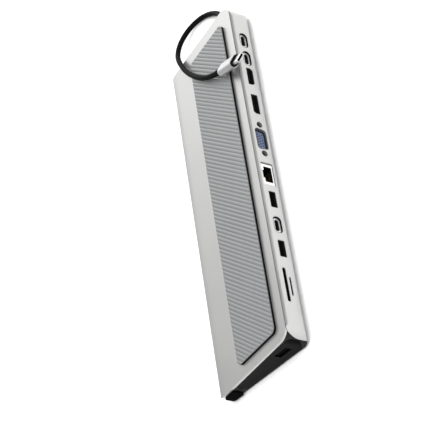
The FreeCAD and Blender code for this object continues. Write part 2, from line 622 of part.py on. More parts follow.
vga_core = prism("vga_core", "XZ_Plane", vga_corners("-0.45"), "6.6", symmetric=False)
add_fillet(vga_core, "1.7", ALONG_Y)
bind(vga_core, place_x=vga_at[0], place_y=vga_at[1] + " - 0.9", place_z=vga_at[2])
VGA_PITCH_X = 2.29
VGA_PITCH_Z = 1.98
pin_holes = []
for row_index in (-1, 0, 1):
    for column in range(5):
        shift = (column - 2) * VGA_PITCH_X - 0.57 + (1.14 if row_index == 0 else 0)
        pin_holes.append(rod("vga_hole_%d_%d" % (row_index + 1, column), "0.65", "6",
                             ("Dims.vga_x + %.2f" % shift, "Dims.mouth_y - 3.5",
                              "Dims.socket_z + %.2f" % (row_index * VGA_PITCH_Z)), ALONG_Y))
keep(cut("vga_insulator", vga_core, pin_holes), "vga_insulator")

# network socket: plated shield, black housing with the plug cavity and latch slot, eight contacts
lan_at = ("Dims.lan_x", "Dims.mouth_y + 1.6", SOCKET_Z)
CAVITY_LOW = "-Dims.lan_height / 2 + 0.9"
CAVITY_HIGH = CAVITY_LOW + " + Dims.lan_cavity_height"
LATCH_HIGH = CAVITY_HIGH + " + Dims.lan_latch_height"
lan_cavity = prism("lan_cavity", "XZ_Plane", [
    ("-Dims.lan_cavity_width / 2", CAVITY_LOW),
    ("Dims.lan_cavity_width / 2", CAVITY_LOW),
    ("Dims.lan_cavity_width / 2", CAVITY_HIGH),
    ("Dims.lan_latch_width / 2", CAVITY_HIGH),
    ("Dims.lan_latch_width / 2", LATCH_HIGH),
    ("-Dims.lan_latch_width / 2", LATCH_HIGH),
    ("-Dims.lan_latch_width / 2", CAVITY_HIGH),
    ("-Dims.lan_cavity_width / 2", CAVITY_HIGH)], "Dims.lan_cavity_depth", symmetric=False)
bind(lan_cavity, place_x=lan_at[0], place_y=lan_at[1], place_z=lan_at[2])


def lan_box(label, shrink, front, back):
    """Box about the network socket's axis, between two depths behind its front."""
    return block(label,
                 ("Dims.lan_x - Dims.lan_width / 2 + %s" % shrink, lan_at[1] + " - " + back,
                  "Dims.socket_z - Dims.lan_height / 2 + %s" % shrink),
                 ("Dims.lan_x + Dims.lan_width / 2 - %s" % shrink, lan_at[1] + " - " + front,
                  "Dims.socket_z + Dims.lan_height / 2 - %s" % shrink))


lan_inner = lan_box("lan_inner", "0.3", "0.4", "(Dims.lan_depth + 1)")
keep(cut("lan_shield", lan_box("lan_outer", "0", "0", "Dims.lan_depth"), [lan_inner, lan_cavity]),
     "lan_shield")
keep(cut("lan_housing", lan_box("lan_core", "0.32", "0.42", "(Dims.lan_depth - 0.4)"), [lan_cavity]),
     "lan_housing")
LAN_CONTACT_PITCH = 1.02
contacts = []
for index in range(8):
    shift = (index - 3.5) * LAN_CONTACT_PITCH
    low_z = "Dims.socket_z - Dims.lan_height / 2 + 0.9"
    contacts.append(block("lan_contact_%d" % index,
                          ("Dims.lan_x + %.2f" % (shift - 0.2), lan_at[1] + " - 9", low_z),
                          ("Dims.lan_x + %.2f" % (shift + 0.2), lan_at[1] + " - 2.5", low_z + " + 0.5")))
keep(group("lan_contacts", contacts), "lan_contacts")

# card readers, one above the other, each with a rounded nose that fills its opening
card_body = block("card_body", ("Dims.card_x - Dims.card_width / 2 - 0.8", "Dims.mouth_y - 24",
                                "Dims.card_z - 1.55"),
                  ("Dims.card_x + Dims.card_width / 2 + 0.8", "Dims.mouth_y", "Dims.card_z + 1.55"))
card_nose = rounded_bar("card_nose", "Dims.card_width - 0.1", "Dims.card_height - 0.1", "3.5", "1.2")
bind(card_nose, place_x="Dims.card_x", place_y="Dims.shell_mouth_y", place_z="Dims.card_z")
card_slot = block("card_slot", ("Dims.card_x - 12.2", "Dims.mouth_y - 22.5", "Dims.card_z - 1.1"),
                  ("Dims.card_x + 12.2", "Dims.mouth_y + 4", "Dims.card_z + 1.1"))
keep(cut("card_reader", union("card_blank", [card_body, card_nose]), [card_slot]), "card_reader")
micro_body = block("micro_body", ("Dims.micro_x - Dims.micro_width / 2 - 0.6", "Dims.mouth_y - 15",
                                  "Dims.board_top_z"),
                   ("Dims.micro_x + Dims.micro_width / 2 + 0.6", "Dims.mouth_y", "Dims.card_z - 1.55"))
micro_nose = rounded_bar("micro_nose", "Dims.micro_width - 0.1", "Dims.micro_height - 0.1", "3.5", "0.6")
bind(micro_nose, place_x="Dims.micro_x", place_y="Dims.shell_mouth_y", place_z="Dims.micro_z")
micro_slot = block("micro_slot", ("Dims.micro_x - 5.6", "Dims.mouth_y - 14", "Dims.micro_z - 0.5"),
                   ("Dims.micro_x + 5.6", "Dims.mouth_y + 4", "Dims.micro_z + 0.5"))
keep(cut("micro_card_reader", union("micro_blank", [micro_body, micro_nose]), [micro_slot]),
     "micro_card_reader")

# ---- top shell, pad, bottom cover -------------------------------------------------------------

PAD_LENGTH = "(Dims.pad_near_x - Dims.pad_far_x)"
PAD_MIDDLE = "((Dims.pad_near_x + Dims.pad_far_x) / 2)"
PAD_WIDTH = "(Dims.pad_back_y - Dims.pad_front_y)"
PAD_CENTRE_Y = "((Dims.pad_back_y + Dims.pad_front_y) / 2)"


def pad_layer(label, grow, low, high):
    """Slab that follows the sloping top, between two heights above it, with round plan corners."""
    front, back = "Dims.pad_front_y - %s" % grow, "Dims.pad_back_y + %s" % grow
    slab = prism(label + "_slab", "YZ_Plane", [under_top(front, "-(%s)" % low),
                                               under_top(back, "-(%s)" % low),
                                               under_top(back, "-(%s)" % high),
                                               under_top(front, "-(%s)" % high)], LONG)
    outline = prism(label + "_outline", "XY_Plane",
                    rectangle("%s + 2 * %s" % (PAD_LENGTH, grow), "%s + 2 * %s" % (PAD_WIDTH, grow),
                              PAD_MIDDLE, PAD_CENTRE_Y), "80")
    add_fillet(outline, "Dims.pad_corner", ALONG_Z)
    return common(label, slab, outline)


keep(pad_layer("pad_base", "0", "-Dims.pad_sink", "Dims.pad_base_height"), "pad_base")
keep(pad_layer("ribbed_pad", "0", "Dims.pad_base_height", "Dims.pad_base_height + Dims.pad_sheet"),
     "ribbed_pad")
pad_recess = pad_layer("pad_recess", "Dims.pad_gap", "-Dims.pad_sink", "5")

FRONT_SCREWS = [("-92", "-33"), ("0", "-33"), ("92", "-33")]
BACK_SCREWS = [("-112", "8"), ("-62", "8"), ("60", "8"), ("120", "8")]
roof_plate = common("roof_plate", envelope, roof_region)
bosses = []
pilots = []
for index, (x_mid, y_mid) in enumerate(FRONT_SCREWS + BACK_SCREWS):
    floor_z = "(Dims.ground_gap + Dims.floor_wall)"
    roof_z = under_top(y_mid, "Dims.skin")[1]
    bosses.append(rod("boss_%d" % index, "3", "%s + 0.3 - %s" % (roof_z, floor_z),
                      (x_mid, y_mid, floor_z)))
    pilots.append(rod("pilot_%d" % index, "1.25", "6.5", (x_mid, y_mid, floor_z + " - 1")))
bossed = union("bossed_roof", [roof_plate] + bosses)
keep(cut("top_shell", bossed, [pad_recess] + pilots), "top_shell")

cover_region = prism("cover_region", "YZ_Plane", [
    ("-Dims.body_depth / 2 - 5", "-5"),
    ("Dims.heel_strip_y", "-5"),
    ("Dims.heel_strip_y", "Dims.ground_gap + Dims.floor_wall"),
    ("Dims.cavity_front_y", "Dims.ground_gap + Dims.floor_wall"),
    (lip_y, lip_z),
    ("-Dims.body_depth / 2 - 5", lip_z)], "Dims.body_length - 2 * Dims.cap_depth")
cover_plate = common("cover_plate", envelope, cover_region)
BOARD_POSTS = [("-120", "-12"), ("-30", "-15"), ("50", "-15"), ("122", "-12")]
posts = []
cover_tools = []
for index, (x_mid, y_mid) in enumerate(BOARD_POSTS):
    base_z = "(Dims.ground_gap + Dims.floor_wall)"
    posts.append(rod("post_%d" % index, "2.8", "Dims.board_top_z - Dims.board_thick - %s + 0.2" % base_z,
                     (x_mid, y_mid, base_z + " - 0.2")))
    cover_tools.append(rod("post_hole_%d" % index, "1.05", "6",
                           (x_mid, y_mid, "Dims.board_top_z - Dims.board_thick - 5")))
SCREW_HEAD_RADIUS = "2.3"
for index, (x_mid, y_mid) in enumerate(FRONT_SCREWS + BACK_SCREWS):
    cover_tools.append(rod("cover_hole_%d" % index, "1.6", "6", (x_mid, y_mid, "0")))
    cover_tools.append(rod("cover_sink_%d" % index, SCREW_HEAD_RADIUS + " + 0.2",
                           "1.3", (x_mid, y_mid, "Dims.ground_gap - 0.3")))
FEET = [("-112", "26"), ("112", "26"), ("-118", "-38"), ("118", "-38")]
feet = []
for index, (x_mid, y_mid) in enumerate(FEET):
    for label, grow, top in (("foot_%d" % index, "0", "Dims.ground_gap + 0.6"),
                             ("foot_recess_%d" % index, "0.3", "Dims.ground_gap + 0.6")):
        body = prism(label, "XY_Plane", rectangle("24 + 2 * %s" % grow, "9 + 2 * %s" % grow), top,
                     symmetric=False)
        add_fillet(body, "4.3", ALONG_Z)
        bind(body, place_x=x_mid, place_y=y_mid)
        if grow == "0":
            feet.append(body)
        else:
            cover_tools.append(body)
keep(group("feet", feet), "feet")
keep(cut("bottom_cover", union("posted_cover", [cover_plate] + posts), cover_tools), "bottom_cover")


def screw(label, position, head_radius, head_height, shank_radius, shank_length, recess):
    """Pan-head screw along Z; a positive shank length points up, a negative one down."""
    x_mid, y_mid, z_seat = position
    down = shank_length < 0
    head_z = z_seat if down else "%s - %s" % (z_seat, head_height)
    shank_z = "%s - %s" % (z_seat, -shank_length) if down else z_seat
    head = rod(label + "_head", head_radius, str(head_height), (x_mid, y_mid, head_z))
    shank = rod(label + "_shank", shank_radius, str(abs(shank_length)), (x_mid, y_mid, shank_z))
    slot_z = "%s + %s - %s" % (head_z, head_height, recess) if down else head_z
    drive = rod(label + "_drive", "0.8", recess, (x_mid, y_mid, slot_z))
    return cut(label, union(label + "_blank", [head, shank]), [drive])


cover_screws = []
for index, (x_mid, y_mid) in enumerate(FRONT_SCREWS + BACK_SCREWS):
    cover_screws.append(screw("cover_screw_%d" % index, (x_mid, y_mid, "Dims.ground_gap + 1"),
                              SCREW_HEAD_RADIUS, 0.9, "1.2", 6.0, "0.5"))
keep(group("cover_screws", cover_screws), "cover_screws")
board_screws = []
for index, (x_mid, y_mid) in enumerate(BOARD_POSTS):
    board_screws.append(screw("board_screw_%d" % index, (x_mid, y_mid, "Dims.board_top_z"),
                              "1.9", 1.1, "1.0", -5.0, "0.6"))
keep(group("board_screws", board_screws), "board_screws")

# ---- electronics ------------------------------------------------------------------------------

BOARD_LOW = "Dims.board_top_z - Dims.board_thick"
board_blank = block("board_blank", ("-127", "-20", BOARD_LOW), ("128", "Dims.mouth_y - 0.8",
                                                                  "Dims.board_top_z"))
board_tools = [block("lan_notch", ("Dims.lan_x - Dims.lan_width / 2 - 0.1", "Dims.mouth_y - 14.2", "0"),
                     ("Dims.lan_x + Dims.lan_width / 2 + 0.1", "60", "20")),
               block("end_notch", ("110", "14", "0"), ("140", "42", "20")),
               block("vga_notch", ("Dims.vga_x - 8.9", "Dims.mouth_y - 6.4", "0"),
                     ("Dims.vga_x + 8.9", "60", "20"))]
for index, (x_mid, y_mid) in enumerate(BACK_SCREWS):
    board_tools.append(rod("board_boss_hole_%d" % index, "3.4", "20", (x_mid, y_mid, "0")))
for index, (x_mid, y_mid) in enumerate(BOARD_POSTS):
    board_tools.append(rod("board_screw_hole_%d" % index, "1.1", "20", (x_mid, y_mid, "0")))
keep(cut("main_board", board_blank, board_tools), "main_board")


def chip(label, x_mid, y_mid, width, depth, height):
    """Flat package on the main board."""
    return keep(block(label, ("%s - %s / 2" % (x_mid, width), "%s - %s / 2" % (y_mid, depth),
                              "Dims.board_top_z"),
                      ("%s + %s / 2" % (x_mid, width), "%s + %s / 2" % (y_mid, depth),
                       "Dims.board_top_z + %s" % height)), label)


chip("hub_chip", "-8", "6", "12", "12", "1.0")
chip("video_chip", "22", "6", "14", "14", "1.0")
chip("power_coil", "-90", "14", "10", "10", "3.6")
chip("lan_transformer", "12", "24", "16", "8", "2.4")
keep(block("thermal_pad", ("-18", "-4", "Dims.board_top_z + 1.0"), ("34", "16", "Dims.board_top_z + 2.0")),
     "thermal_pad")
keep(block("heat_spreader", ("-44", "-4", "Dims.board_top_z + 2.0"),
           ("46", "18", "Dims.board_top_z + 3.0")), "heat_spreader")

end_at = ("Dims.body_length / 2 - Dims.end_wall - 0.1", "Dims.end_usb_y", "Dims.end_usb_z")
END_BOARD_TOP = "Dims.end_usb_z - Dims.usb_a_height / 2"
keep(block("end_board", ("Dims.body_length / 2 - 27", "16", END_BOARD_TOP + " - 1.2"),
           ("Dims.body_length / 2 - Dims.end_wall - 0.3", "33.8", END_BOARD_TOP)), "end_board")
end_outer = block("end_usb_outer",
                  (end_at[0] + " - Dims.usb_a_depth", "Dims.end_usb_y - Dims.usb_a_width / 2",
                   END_BOARD_TOP),
                  (end_at[0], "Dims.end_usb_y + Dims.usb_a_width / 2",
                   END_BOARD_TOP + " + Dims.usb_a_height"))
end_inner = block("end_usb_inner",
                  (end_at[0] + " - Dims.usb_a_depth + 0.3", "Dims.end_usb_y - Dims.usb_a_width / 2 + 0.3",
                   END_BOARD_TOP + " + 0.3"),
                  (end_at[0] + " + 1", "Dims.end_usb_y + Dims.usb_a_width / 2 - 0.3",
                   END_BOARD_TOP + " + Dims.usb_a_height - 0.3"))
keep(cut("end_usb_shell", end_outer, [end_inner]), "end_usb_shell")
keep(block("end_usb_tongue",
           (end_at[0] + " - Dims.usb_a_depth + 0.3", "Dims.end_usb_y - 5.5", "Dims.end_usb_z"),
           (end_at[0] + " - 1.8", "Dims.end_usb_y + 5.5", "Dims.end_usb_z + 1.84")), "end_usb_tongue")
keep(block("link_ribbon", ("110.3", "20", END_BOARD_TOP), ("Dims.body_length / 2 - 22", "34",
                                                           END_BOARD_TOP + " + 0.3")), "link_ribbon")

# ---- end caps, panels, bumpers ----------------------------------------------------------------

bumper_corners = [
    ("-Dims.body_depth / 2 - 5", "Dims.ground_gap + 0.5"),
    ("Dims.bumper_back_y", "Dims.ground_gap + 0.5"),
    under_top("Dims.bumper_back_y", "Dims.skin + 0.5"),
    under_top("-Dims.body_depth / 2 - 5", "Dims.skin + 0.9")]

for name, side in END_SIDES.items():
    inner_x = "Dims.body_length / 2 - Dims.cap_depth"
    if side == "+":
        cap_zone = block("cap_zone_" + name, (inner_x, "-60", "-5"), (OUTER_X, "60", "40"))
    else:
        cap_zone = block("cap_zone_" + name, ("-(%s)" % OUTER_X, "-60", "-5"),
                         ("-(%s)" % inner_x, "60", "40"))
    panel_prism = panel_prisms[name]
    panel_blank = common("panel_blank_" + name, envelope, panel_prism)
    bumper_prism = end_prism("bumper_prism_" + name, bumper_corners, "5 + Dims.bumper_depth", OUTER_X,
                             "Dims.bumper_corner", side, back_only=True)
    bumper_rough = common("bumper_rough_" + name, proud_envelope, bumper_prism)
    bumper = cut(name + "_bumper", bumper_rough, [roof_region])
    keep(bumper, name + "_bumper")
    if side == "+":
        mouth = block("end_usb_mouth", ("Dims.body_length / 2 - 8", "Dims.end_usb_y - 6.45",
                                        "Dims.end_usb_z - 2.75"),
                      ("Dims.body_length / 2 + 8", "Dims.end_usb_y + 6.45", "Dims.end_usb_z + 2.75"))
    else:
        mouth = rod("lead_mouth", "4.05", "30",
                    ("-Dims.body_length / 2 - 10", "Dims.lead_y", "Dims.lead_z"),
                    ALONG_X)
    keep(cut(name + "_panel", panel_blank, [mouth]), name + "_panel")
    cap_outer = common("cap_outer_" + name, envelope, cap_zone)
    keep(cut(name + "_end_cap", cap_outer,
             [roof_region, rear_ends, cap_hollow, panel_prism, bumper_prism, mouth]),
         name + "_end_cap")

# ---- captive lead -----------------------------------------------------------------------------

END_FACE_X = "(-Dims.body_length / 2)"
gland_body = rod("gland_body", "4.0", "6", (END_FACE_X + " - 0.6", "Dims.lead_y", "Dims.lead_z"), ALONG_X)
gland_flange = rod("gland_flange", "5.2", "1.6", (END_FACE_X + " + Dims.end_wall + 0.05", "Dims.lead_y",
                                                "Dims.lead_z"), ALONG_X)
gland_cone = doc.addObject("Part::Cone", "gland_cone")
gland_cone.Placement.Rotation = Rotation(ALONG_Z, ALONG_X)
bind(gland_cone, Radius1="Dims.lead_diameter / 2 + 0.5", Radius2="4.0",
     Height="Dims.gland_reach - 0.6", place_x=END_FACE_X + " - Dims.gland_reach", place_y="Dims.lead_y",
     place_z="Dims.lead_z")
gland_blank = union("gland_blank", [gland_body, gland_flange, gland_cone])

# The lead leaves the far end cap, dips to the table, turns back over the housing's front far corner
# and crosses the pad to the plug, whose tip overhangs the sockets.
LEAD_ROUTE = [
    (-147.0, 23.6, 9.5),
    (-156.2, 21.1, 7.9),
    (-166.4, 12.7, 4.7),
    (-176.4, -1.4, 2.6),
    (-179.8, -13.6, 2.8),
    (-176.9, -25.5, 5.6),
    (-167.8, -33.4, 9.4),
    (-155.4, -34.6, 13.1),
    (-140.8, -27.4, 17.7),
    (-121.6, -15.6, 20.6),
    (-102.3, 3.1, 24.1),
    (-89.9, 22.2, 27.1),
    (-85.4, 36.0, 28.9),
]


def rounded_route(points):
    """Straight runs joined by tangent arcs, as large as the two runs allow."""
    corners = [Vector(*point) for point in points]
    edges = []
    radii = []
    last = corners[0]
    for before, corner, after in zip(corners, corners[1:], corners[2:]):
        inward = (corner - before).normalize()
        outward = (after - corner).normalize()
        half_turn = inward.getAngle(outward) / 2
        radius = 0.45 * min((corner - before).Length, (after - corner).Length) / math.tan(half_turn)
        cut_back = radius * math.tan(half_turn)
        start = corner - inward * cut_back
        end = corner + outward * cut_back
        to_centre = (outward - inward).normalize()
        middle = corner + to_centre * (radius / math.cos(half_turn) - radius)
        edges.append(Part.LineSegment(last, start).toShape())
        edges.append(Part.Arc(start, middle, end).toShape())
        radii.append(radius)
        last = end
    edges.append(Part.LineSegment(last, corners[-1]).toShape())
    return Part.Wire(edges), radii


lead_wire, lead_radii = rounded_route(LEAD_ROUTE)
lead_radius = size_of("Dims.lead_diameter") / 2
route_start = Vector(*LEAD_ROUTE[0])
start_direction = Vector(*LEAD_ROUTE[1]) - route_start
lead_ring = Part.Wire(Part.makeCircle(lead_radius, route_start, start_direction))
gland_seat = doc.addObject("Part::Cylinder", "gland_seat")
gland_seat.Placement = FreeCAD.Placement(route_start, Rotation(ALONG_Z, start_direction))
bind(gland_seat, Radius="Dims.lead_diameter / 2 + 0.02", Height="4")
keep(cut("cable_gland", gland_blank, [gland_seat]), "cable_gland")
lead = doc.addObject("Part::Feature", "lead")
lead.Shape = lead_wire.makePipeShell([lead_ring], True, False)
keep(lead, "lead")
print("lead bend radii", [round(radius, 1) for radius in lead_radii])
print("lead length", round(lead_wire.Length, 1),
      "volume over section times length",
      round(lead.Shape.Volume / (math.pi * lead_radius ** 2 * lead_wire.Length), 4))

# The plug lies on the pad on one lower corner, rolled a little about its own axis.
PLUG_ROLL = 26.0
plug_origin = Vector(*LEAD_ROUTE[-1])
plug_axis = (plug_origin - Vector(*LEAD_ROUTE[-2])).normalize()
side_axis = plug_axis.cross(ALONG_Z).normalize()
lift_axis = side_axis.cross(plug_axis)
plug_frame = FreeCAD.Matrix(side_axis.x, plug_axis.x, lift_axis.x, plug_origin.x,
                            side_axis.y, plug_axis.y, lift_axis.y, plug_origin.y,
                            side_axis.z, plug_axis.z, lift_axis.z, plug_origin.z, 0, 0, 0, 1)
plug_placement = FreeCAD.Placement(plug_frame).multiply(
    FreeCAD.Placement(Vector(0, 0, 0), Rotation(ALONG_Y, -PLUG_ROLL)))


def plug_piece(obj, label, start):
    """Put a plug piece, modelled with its front face at zero and its length along -Y, on the lead."""
    obj.Placement = plug_placement.multiply(FreeCAD.Placement(Vector(0, start, 0), Rotation()))
    return keep(obj, label)


plug_length = size_of("Dims.plug_length")
collar_end = plug_length + size_of("Dims.collar_length")
shell_end = collar_end + size_of("Dims.plug_shell_length")

plug_body = prism("plug_body", "XZ_Plane", rectangle("Dims.plug_width", "Dims.plug_height"),
                  "Dims.plug_length", symmetric=False)
add_fillet(plug_body, "Dims.plug_height * 0.46", ALONG_Y)
plug_bar = plug_body.Tip
back_edges = [
    "Edge%d" % index for index, edge in enumerate(plug_bar.Shape.Edges, start=1)
    if edge.BoundBox.YMax < 0.01 - plug_length]
taper = plug_body.newObject("PartDesign::Fillet", "BackRounding")
taper.Base = (plug_bar, back_edges)
taper.Radius = 1.9
plug_body.Tip = taper
doc.recompute()
plug_piece(plug_body, "plug_body", plug_length)

relief_bore = "Dims.lead_diameter / 2 + 0.05"
relief_cone = doc.addObject("Part::Cone", "relief_cone")
relief_cone.Placement.Rotation = Rotation(ALONG_Z, ALONG_Y)
bind(relief_cone, Radius1=relief_bore + " + 0.35", Radius2="Dims.plug_height / 2 - 0.5",
     Height="Dims.relief_length", place_y="-Dims.relief_length")
relief_hole = rod("relief_hole", relief_bore, "Dims.relief_length + 2",
                  ("0", "-Dims.relief_length - 1", "0"), ALONG_Y)
plug_relief = cut("plug_relief", relief_cone, [relief_hole])
plug_piece(plug_relief, "plug_relief", 0)

plug_collar = prism("plug_collar", "XZ_Plane", rectangle("Dims.plug_width - 0.9", "Dims.plug_height - 0.9"),
                    "Dims.collar_length", symmetric=False)
add_fillet(plug_collar, "(Dims.plug_height - 0.9) * 0.46", ALONG_Y)
plug_piece(plug_collar, "plug_collar", collar_end)

plug_shell = prism("plug_shell", "XZ_Plane", rectangle("Dims.plug_shell_width", "Dims.plug_shell_height"),
                   "Dims.plug_shell_length", symmetric=False)
add_fillet(plug_shell, "Dims.plug_shell_height * 0.47", ALONG_Y)
add_pocket(plug_shell, rectangle("Dims.plug_shell_width - 0.9", "Dims.plug_shell_height - 0.5"), "XZ_Plane",
           "Dims.plug_shell_length - 0.6", reverse=True)
plug_piece(plug_shell, "plug_shell", shell_end)

plug_liner = prism("plug_liner", "XZ_Plane",
                   rectangle("Dims.plug_shell_width - 1.0", "Dims.plug_shell_height - 0.6"),
                   "Dims.plug_shell_length - 1.2", symmetric=False)
add_pocket(plug_liner, rectangle("6.6", "0.8"), "XZ_Plane", "4.6", reverse=True)
plug_piece(plug_liner, "plug_liner", shell_end - 0.5)

# ---- check and write --------------------------------------------------------------------------

doc.recompute()
for obj in doc.Objects:
    if "Invalid" in obj.State or "Error" in obj.State:
        raise RuntimeError("%s failed: %s" % (obj.Label, obj.State))
for label, obj in nodes.items():
    if obj.Shape.isNull() or not obj.Shape.isValid() or not obj.Shape.Solids:
        raise RuntimeError("%s has no valid solid" % label)

os.makedirs("parts", exist_ok=True)
for label, obj in nodes.items():
    obj.Shape.exportStep("parts/%s.step" % label)
    box = obj.Shape.BoundBox
    print("%-20s solids %2d  x %7.1f %7.1f  y %6.1f %6.1f  z %6.1f %6.1f" % (
        label, len(obj.Shape.Solids), box.XMin, box.XMax, box.YMin, box.YMax, box.ZMin, box.ZMax))
print(len(nodes), "nodes written")
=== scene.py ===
"""Looks of the laptop docking station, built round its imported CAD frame. Units are metres."""

import json
import math

import bmesh
import bpy
from mathutils import Matrix, Vector


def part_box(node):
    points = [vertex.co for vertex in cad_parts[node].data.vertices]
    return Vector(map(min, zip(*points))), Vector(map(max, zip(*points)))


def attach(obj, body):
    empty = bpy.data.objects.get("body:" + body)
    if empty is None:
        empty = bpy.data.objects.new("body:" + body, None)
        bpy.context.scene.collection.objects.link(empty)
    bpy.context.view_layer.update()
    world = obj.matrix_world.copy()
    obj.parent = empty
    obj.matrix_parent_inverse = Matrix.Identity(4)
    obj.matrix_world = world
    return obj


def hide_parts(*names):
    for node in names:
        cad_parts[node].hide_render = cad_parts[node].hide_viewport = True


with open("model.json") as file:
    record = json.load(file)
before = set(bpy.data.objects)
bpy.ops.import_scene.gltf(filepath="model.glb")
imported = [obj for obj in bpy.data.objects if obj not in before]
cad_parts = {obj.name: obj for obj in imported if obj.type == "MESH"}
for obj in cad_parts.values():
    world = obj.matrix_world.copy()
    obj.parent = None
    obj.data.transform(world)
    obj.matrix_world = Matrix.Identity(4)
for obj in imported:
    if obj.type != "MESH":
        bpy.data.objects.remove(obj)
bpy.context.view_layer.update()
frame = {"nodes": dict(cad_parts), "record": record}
nodes = frame["nodes"]
scene = bpy.context.scene

# ---- camera -----------------------------------------------------------------------------------

CAMERA_PLACE = (0.5739, 0.7136, 0.5928)
CAMERA_RIGHT = (0.1380, 0.5525, -0.8220)
CAMERA_FORWARD = (-0.5141, -0.6695, -0.5362)
SENSOR_WIDTH = 36.0
FOCAL_LENGTH = 119.0893
CLIP_START = 0.05
CLIP_END = 20


def add_camera():
    """Camera at the photograph's viewing angle."""
    data = bpy.data.cameras.new("camera")
    data.sensor_width = SENSOR_WIDTH
    data.lens = FOCAL_LENGTH
    data.clip_start = CLIP_START
    data.clip_end = CLIP_END
    forward = Vector(CAMERA_FORWARD).normalized()
    right = Vector(CAMERA_RIGHT)
    right = (right - forward * right.dot(forward)).normalized()
    up = right.cross(forward)
    turn = Matrix((right, up, -forward)).transposed()
    camera = bpy.data.objects.new("camera", data)
    camera.matrix_world = Matrix.Translation(CAMERA_PLACE) @ turn.to_4x4()
    scene.collection.objects.link(camera)
    scene.camera = camera


add_camera()

# ---- lead -------------------------------------------------------------------------------------

LEAD_DIAMETER = 0.0042
LEAD_BEVEL_STEPS = 8
LEAD_CURVE_STEPS = 24
LEAD_ROUTE = [
    (-0.1470, 0.0236, 0.0095),
    (-0.1562, 0.0211, 0.0079),
    (-0.1664, 0.0127, 0.0047),
    (-0.1764, -0.0014, 0.0026),
    (-0.1798, -0.0136, 0.0028),
    (-0.1769, -0.0255, 0.0056),
    (-0.1678, -0.0334, 0.0094),
    (-0.1554, -0.0346, 0.0131),
    (-0.1408, -0.0274, 0.0177),
    (-0.1216, -0.0156, 0.0206),
    (-0.1023, 0.0031, 0.0241),
    (-0.0899, 0.0222, 0.0271),
    (-0.0854, 0.0360, 0.0289),
]


def add_lead():
    """The captive lead: one smooth spline along its route."""
    curve = bpy.data.curves.new("lead_line", "CURVE")
    curve.dimensions = "3D"
    # The tube's radius is this depth times each point's radius. Until the tube is evaluated, the
    # curve's box is padded by the points' radius alone, so the points carry the real size.
    curve.bevel_depth = 1.0
    curve.bevel_resolution = LEAD_BEVEL_STEPS
    curve.use_fill_caps = True
    spline = curve.splines.new("NURBS")
    spline.points.add(len(LEAD_ROUTE) - 1)
    for point, place in zip(spline.points, LEAD_ROUTE):
        point.co = (*place, 1.0)
        point.radius = LEAD_DIAMETER / 2
    spline.order_u = 3
    spline.use_endpoint_u = True
    spline.resolution_u = LEAD_CURVE_STEPS
    lead = bpy.data.objects.new("lead_cable", curve)
    scene.collection.objects.link(lead)
    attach(lead, "root")
    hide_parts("lead")
    return lead


lead = add_lead()

# ---- ribbed pad -------------------------------------------------------------------------------

TOP_SLOPE = 0.1222
PAD_CORNER = 0.0045
CORNER_STEP = 9
SHEET_THICKNESS = 0.0007
RIB_ANGLE = math.radians(39.2)
RIB_PITCH = 0.00278
RIB_PHASE = 0.00084
RIB_DEPTH = 0.0003
RIB_FULLNESS = 2.2
SAMPLES_PER_RIB = 10
SHARP_FROM = math.radians(50)


def keep_inside(mesh, point, outward):
    """Cut away what lies beyond a plane."""
    geometry = mesh.verts[:] + mesh.edges[:] + mesh.faces[:]
    bmesh.ops.bisect_plane(mesh, geom=geometry, plane_co=point, plane_no=outward, clear_outer=True)


def rib_drop(turn):
    """How far the surface lies below the ridges, at a place counted in ribs."""
    from_ridge = abs(turn - round(turn)) * 2
    return RIB_DEPTH * from_ridge ** RIB_FULLNESS


def add_rib_strips(mesh, low, high, top_height):
    """Long flat strips along the ribs, at the heights of the ribs' profile."""
    centre = (low + high) / 2
    reach = (high - low).length / 2
    along = Vector((math.sin(RIB_ANGLE), math.cos(RIB_ANGLE), 0))
    across = Vector((math.cos(RIB_ANGLE), -math.sin(RIB_ANGLE), 0))
    middle = centre.dot(across)
    first = math.floor((middle - reach - RIB_PHASE) / RIB_PITCH)
    last = math.ceil((middle + reach - RIB_PHASE) / RIB_PITCH)
    previous = None
    for step in range(first * SAMPLES_PER_RIB, last * SAMPLES_PER_RIB + 1):
        turn = step / SAMPLES_PER_RIB
        line = across * (RIB_PHASE + turn * RIB_PITCH) + along * centre.dot(along)
        pair = []
        for side in (-reach, reach):
            place = line + along * side
            pair.append(mesh.verts.new((place.x, place.y, top_height(place.y) - rib_drop(turn))))
        if previous:
            mesh.faces.new((previous[0], pair[0], pair[1], previous[1]))
        previous = pair


def clip_to_outline(mesh, low, high):
    """Cut the strips to the pad's rectangle, and round its corners with a row of planes."""
    for point, outward in ((low, (-1, 0, 0)), (high, (1, 0, 0)), (low, (0, -1, 0)), (high, (0, 1, 0))):
        keep_inside(mesh, point, outward)
    for side_x, edge_x in ((-1, low.x), (1, high.x)):
        for side_y, edge_y in ((-1, low.y), (1, high.y)):
            hub = Vector((edge_x - side_x * PAD_CORNER, edge_y - side_y * PAD_CORNER, 0))
            for degrees in range(CORNER_STEP, 90, CORNER_STEP):
                angle = math.radians(degrees)
                outward = Vector((side_x * math.cos(angle), side_y * math.sin(angle), 0))
                keep_inside(mesh, hub + outward * PAD_CORNER, outward)


def close_underneath(mesh, top_height):
    """Give the sheet its thickness: a skirt round the rim, and a face below."""
    rim = [edge for edge in mesh.edges if edge.is_boundary]
    for piece in bmesh.ops.extrude_edge_only(mesh, edges=rim)["geom"]:
        if isinstance(piece, bmesh.types.BMVert):
            piece.co.z = top_height(piece.co.y) - SHEET_THICKNESS
    lower_rim = [edge for edge in mesh.edges if edge.is_boundary]
    bmesh.ops.holes_fill(mesh, edges=lower_rim, sides=0)
    bmesh.ops.recalc_face_normals(mesh, faces=mesh.faces[:])


